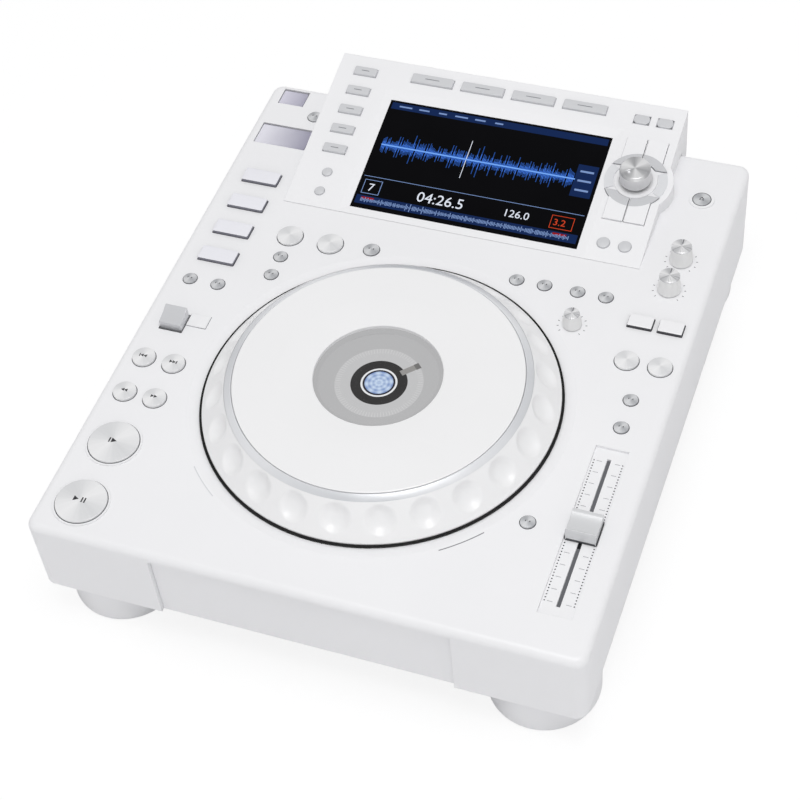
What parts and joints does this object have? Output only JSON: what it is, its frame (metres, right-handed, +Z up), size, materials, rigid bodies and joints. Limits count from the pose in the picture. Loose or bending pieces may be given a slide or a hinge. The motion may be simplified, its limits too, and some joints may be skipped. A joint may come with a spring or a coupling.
{
  "type": "tabletop dj disc player",
  "caption": "White tabletop DJ disc player with a large jog wheel, a sloping display unit, pads, buttons, knobs and a tempo slider, on four round feet.",
  "frame": {"origin": "on the floor under the middle of the player's box", "axes": "+X to the user's right, +Y from the front to the back, +Z up"},
  "size_m": [0.32, 0.3926, 0.1097],
  "materials": {
    "shell_white": "satin white",
    "panel_white": "satin white",
    "sheet_steel": "matte",
    "foot_silver": "satin silver",
    "screw_steel": "satin",
    "screen_glass": "gloss",
    "board_green": "satin",
    "black_plastic": "matte",
    "roller_rubber": "matte",
    "dial_white": "satin white",
    "plate_white": "satin white",
    "ring_silver": "spun",
    "window_clear": "clear",
    "grey_plastic": "matte",
    "centre_display": "gloss",
    "cap_grey": "satin",
    "knob_pearl": "spun pearl",
    "cover_lilac": "translucent",
    "button_pearl": "spun pearl",
    "button_silver": "satin silver",
    "pad_pale": "satin",
    "key_grey": "satin"
  },
  "bodies": {
    "chassis": {"top_cover": "shell_white", "front_panel": "shell_white", "bottom_plate": "sheet_steel", "rear_panel": "panel_white", "display_housing": "shell_white", "screen_panel": "screen_glass", "feet": "foot_silver", "screws": "screw_steel", "main_board": "board_green", "power_supply": "sheet_steel", "drive_frame": "sheet_steel", "rear_jacks": "black_plastic", "ac_inlet": "black_plastic", "jog_display": "centre_display", "jog_bearing": "grey_plastic", "slider_unit": "black_plastic", "media_ports": "black_plastic"},
    "jog_wheel": {"jog_dial": "dial_white", "jog_ring": "ring_silver", "jog_plate": "plate_white", "jog_window": "window_clear", "jog_shaft": "grey_plastic"},
    "spindle_hub": {"spindle_hub": "black_plastic"},
    "load_roller": {"load_roller": "roller_rubber"},
    "pickup_sled": {"pickup_sled": "black_plastic"},
    "power_switch": {"power_switch": "black_plastic"},
    "slider_cap": {"slider_cap": "cap_grey"},
    "brake_knob": {"brake_knob": "knob_pearl"},
    "start_knob": {"start_knob": "knob_pearl"},
    "jog_feel_knob": {"jog_feel_knob": "knob_pearl"},
    "selector_shaft": {"selector_shaft": "screw_steel"},
    "selector_knob": {"selector_knob": "knob_pearl"},
    "direction_lever": {"direction_lever": "cap_grey"},
    "usb_cover": {"usb_cover": "cover_lilac"},
    "card_door": {"card_door": "cover_lilac"},
    "play_button": {"play_button": "button_pearl"},
    "cue_button": {"cue_button": "button_pearl"},
    "track_back_button": {"track_back_button": "button_pearl"},
    "track_forward_button": {"track_forward_button": "button_pearl"},
    "search_back_button": {"search_back_button": "button_pearl"},
    "search_forward_button": {"search_forward_button": "button_pearl"},
    "pad_1": {"pad_1": "pad_pale"},
    "pad_2": {"pad_2": "pad_pale"},
    "pad_3": {"pad_3": "pad_pale"},
    "pad_4": {"pad_4": "pad_pale"},
    "loop_in_button": {"loop_in_button": "button_pearl"},
    "loop_out_button": {"loop_out_button": "button_pearl"},
    "tempo_range_button": {"tempo_range_button": "pad_pale"},
    "master_tempo_button": {"master_tempo_button": "pad_pale"},
    "sync_button": {"sync_button": "button_pearl"},
    "master_button": {"master_button": "button_pearl"},
    "eject_button": {"eject_button": "button_silver"},
    "usb_stop_button": {"usb_stop_button": "button_silver"},
    "edit_buttons": {"edit_buttons": "button_silver"},
    "beat_buttons": {"beat_buttons": "button_silver"},
    "mode_buttons": {"mode_buttons": "button_silver"},
    "source_buttons": {"source_buttons": "key_grey"},
    "menu_buttons": {"menu_buttons": "key_grey"},
    "tab_buttons": {"tab_buttons": "key_grey"},
    "utility_buttons": {"utility_buttons": "key_grey"}
  },
  "joints": [
    {"name": "jog_spin", "type": "hinge", "parent": "chassis", "child": "jog_wheel", "pos_m": [0, -0.05625, 0.0825], "axis": [0, 0, 1], "continuous": true},
    {"name": "spindle_spin", "type": "hinge", "parent": "chassis", "child": "spindle_hub", "pos_m": [0, -0.11425, 0.018], "axis": [0, 0, 1], "continuous": true},
    {"name": "roller_spin", "type": "hinge", "parent": "chassis", "child": "load_roller", "pos_m": [0, -0.16825, 0.0181], "axis": [1, 0, 0], "continuous": true},
    {"name": "sled_slide", "type": "slide", "parent": "chassis", "child": "pickup_sled", "axis": [0, 1, 0], "range_m": [0, 0.036]},
    {"name": "power_rock", "type": "hinge", "parent": "chassis", "child": "power_switch", "pos_m": [0.1, 0.17475, 0.043], "axis": [1, 0, 0], "range_deg": [-8, 8]},
    {"name": "tempo_slide", "type": "slide", "parent": "chassis", "child": "slider_cap", "axis": [0, 1, 0], "range_m": [-0.048, 0.048]},
    {"name": "brake_turn", "type": "hinge", "parent": "chassis", "child": "brake_knob", "pos_m": [0.1379, 0.09175, 0.0825], "axis": [0, 0, 1], "range_deg": [-140, 140]},
    {"name": "start_turn", "type": "hinge", "parent": "chassis", "child": "start_knob", "pos_m": [0.1368, 0.06705, 0.0825], "axis": [0, 0, 1], "range_deg": [-140, 140]},
    {"name": "feel_turn", "type": "hinge", "parent": "chassis", "child": "jog_feel_knob", "pos_m": [0.0895, 0.02555, 0.0825], "axis": [0, 0, 1], "range_deg": [-140, 140]},
    {"name": "selector_push", "type": "slide", "parent": "chassis", "child": "selector_shaft", "axis": [0, 0.1985, -0.9801], "range_m": [0, 0.0012], "stiffness_N_per_m": 600, "springref_m": -0.0008},
    {"name": "selector_spin", "type": "hinge", "parent": "selector_shaft", "child": "selector_knob", "pos_m": [0.0975, 0.13912, 0.09473], "axis": [0, -0.1985, 0.9801], "continuous": true},
    {"name": "direction_rock", "type": "hinge", "parent": "chassis", "child": "direction_lever", "pos_m": [-0.139, -0.03425, 0.0779], "axis": [1, 0, 0], "range_deg": [-10, 10]},
    {"name": "usb_cover_swing", "type": "hinge", "parent": "chassis", "child": "usb_cover", "pos_m": [-0.1427, 0.17695, 0.0812], "axis": [-1, 0, 0], "range_deg": [0, 100]},
    {"name": "card_door_swing", "type": "hinge", "parent": "chassis", "child": "card_door", "pos_m": [-0.1355, 0.14275, 0.0812], "axis": [-1, 0, 0], "range_deg": [0, 95]},
    {"name": "play_press", "type": "slide", "parent": "chassis", "child": "play_button", "axis": [0, 0, -1], "range_m": [0, 0.001], "stiffness_N_per_m": 500, "springref_m": -0.0006},
    {"name": "cue_press", "type": "slide", "parent": "chassis", "child": "cue_button", "axis": [0, 0, -1], "range_m": [0, 0.001], "stiffness_N_per_m": 500, "springref_m": -0.0006},
    {"name": "track_back_press", "type": "slide", "parent": "chassis", "child": "track_back_button", "axis": [0, 0, -1], "range_m": [0, 0.0008], "stiffness_N_per_m": 500, "springref_m": -0.0006},
    {"name": "track_forward_press", "type": "slide", "parent": "chassis", "child": "track_forward_button", "axis": [0, 0, -1], "range_m": [0, 0.0008], "stiffness_N_per_m": 500, "springref_m": -0.0006},
    {"name": "search_back_press", "type": "slide", "parent": "chassis", "child": "search_back_button", "axis": [0, 0, -1], "range_m": [0, 0.0008], "stiffness_N_per_m": 500, "springref_m": -0.0006},
    {"name": "search_forward_press", "type": "slide", "parent": "chassis", "child": "search_forward_button", "axis": [0, 0, -1], "range_m": [0, 0.0008], "stiffness_N_per_m": 500, "springref_m": -0.0006},
    {"name": "pad_1_press", "type": "slide", "parent": "chassis", "child": "pad_1", "axis": [0, 0, -1], "range_m": [0, 0.001], "stiffness_N_per_m": 500, "springref_m": -0.0006},
    {"name": "pad_2_press", "type": "slide", "parent": "chassis", "child": "pad_2", "axis": [0, 0, -1], "range_m": [0, 0.001], "stiffness_N_per_m": 500, "springref_m": -0.0006},
    {"name": "pad_3_press", "type": "slide", "parent": "chassis", "child": "pad_3", "axis": [0, 0, -1], "range_m": [0, 0.001], "stiffness_N_per_m": 500, "springref_m": -0.0006},
    {"name": "pad_4_press", "type": "slide", "parent": "chassis", "child": "pad_4", "axis": [0, 0, -1], "range_m": [0, 0.001], "stiffness_N_per_m": 500, "springref_m": -0.0006},
    {"name": "loop_in_press", "type": "slide", "parent": "chassis", "child": "loop_in_button", "axis": [0, 0, -1], "range_m": [0, 0.0008], "stiffness_N_per_m": 500, "springref_m": -0.0006},
    {"name": "loop_out_press", "type": "slide", "parent": "chassis", "child": "loop_out_button", "axis": [0, 0, -1], "range_m": [0, 0.0008], "stiffness_N_per_m": 500, "springref_m": -0.0006},
    {"name": "tempo_range_press", "type": "slide", "parent": "chassis", "child": "tempo_range_button", "axis": [0, 0, -1], "range_m": [0, 0.0008], "stiffness_N_per_m": 500, "springref_m": -0.0006},
    {"name": "master_tempo_press", "type": "slide", "parent": "chassis", "child": "master_tempo_button", "axis": [0, 0, -1], "range_m": [0, 0.0008], "stiffness_N_per_m": 500, "springref_m": -0.0006},
    {"name": "sync_press", "type": "slide", "parent": "chassis", "child": "sync_button", "axis": [0, 0, -1], "range_m": [0, 0.0008], "stiffness_N_per_m": 500, "springref_m": -0.0006},
    {"name": "master_press", "type": "slide", "parent": "chassis", "child": "master_button", "axis": [0, 0, -1], "range_m": [0, 0.0008], "stiffness_N_per_m": 500, "springref_m": -0.0006},
    {"name": "eject_press", "type": "slide", "parent": "chassis", "child": "eject_button", "axis": [0, 0, -1], "range_m": [0, 0.0006], "stiffness_N_per_m": 500, "springref_m": -0.0006},
    {"name": "usb_stop_press", "type": "slide", "parent": "chassis", "child": "usb_stop_button", "axis": [0, 0, -1], "range_m": [0, 0.0006], "stiffness_N_per_m": 500, "springref_m": -0.0006},
    {"name": "edit_press", "type": "slide", "parent": "chassis", "child": "edit_buttons", "axis": [0, 0, -1], "range_m": [0, 0.0006], "stiffness_N_per_m": 500, "springref_m": -0.0006},
    {"name": "beat_press", "type": "slide", "parent": "chassis", "child": "beat_buttons", "axis": [0, 0, -1], "range_m": [0, 0.0006], "stiffness_N_per_m": 500, "springref_m": -0.0006},
    {"name": "mode_press", "type": "slide", "parent": "chassis", "child": "mode_buttons", "axis": [0, 0, -1], "range_m": [0, 0.0006], "stiffness_N_per_m": 500, "springref_m": -0.0006},
    {"name": "source_press", "type": "slide", "parent": "chassis", "child": "source_buttons", "axis": [0, 0.1985, -0.9801], "range_m": [0, 0.0006], "stiffness_N_per_m": 500, "springref_m": -0.0006},
    {"name": "menu_press", "type": "slide", "parent": "chassis", "child": "menu_buttons", "axis": [0, 0.1985, -0.9801], "range_m": [0, 0.0006], "stiffness_N_per_m": 500, "springref_m": -0.0006},
    {"name": "tab_press", "type": "slide", "parent": "chassis", "child": "tab_buttons", "axis": [0, 0.1985, -0.9801], "range_m": [0, 0.0006], "stiffness_N_per_m": 500, "springref_m": -0.0006},
    {"name": "utility_press", "type": "slide", "parent": "chassis", "child": "utility_buttons", "axis": [0, 0.1985, -0.9801], "range_m": [0, 0.0006], "stiffness_N_per_m": 500, "springref_m": -0.0006}
  ]
}
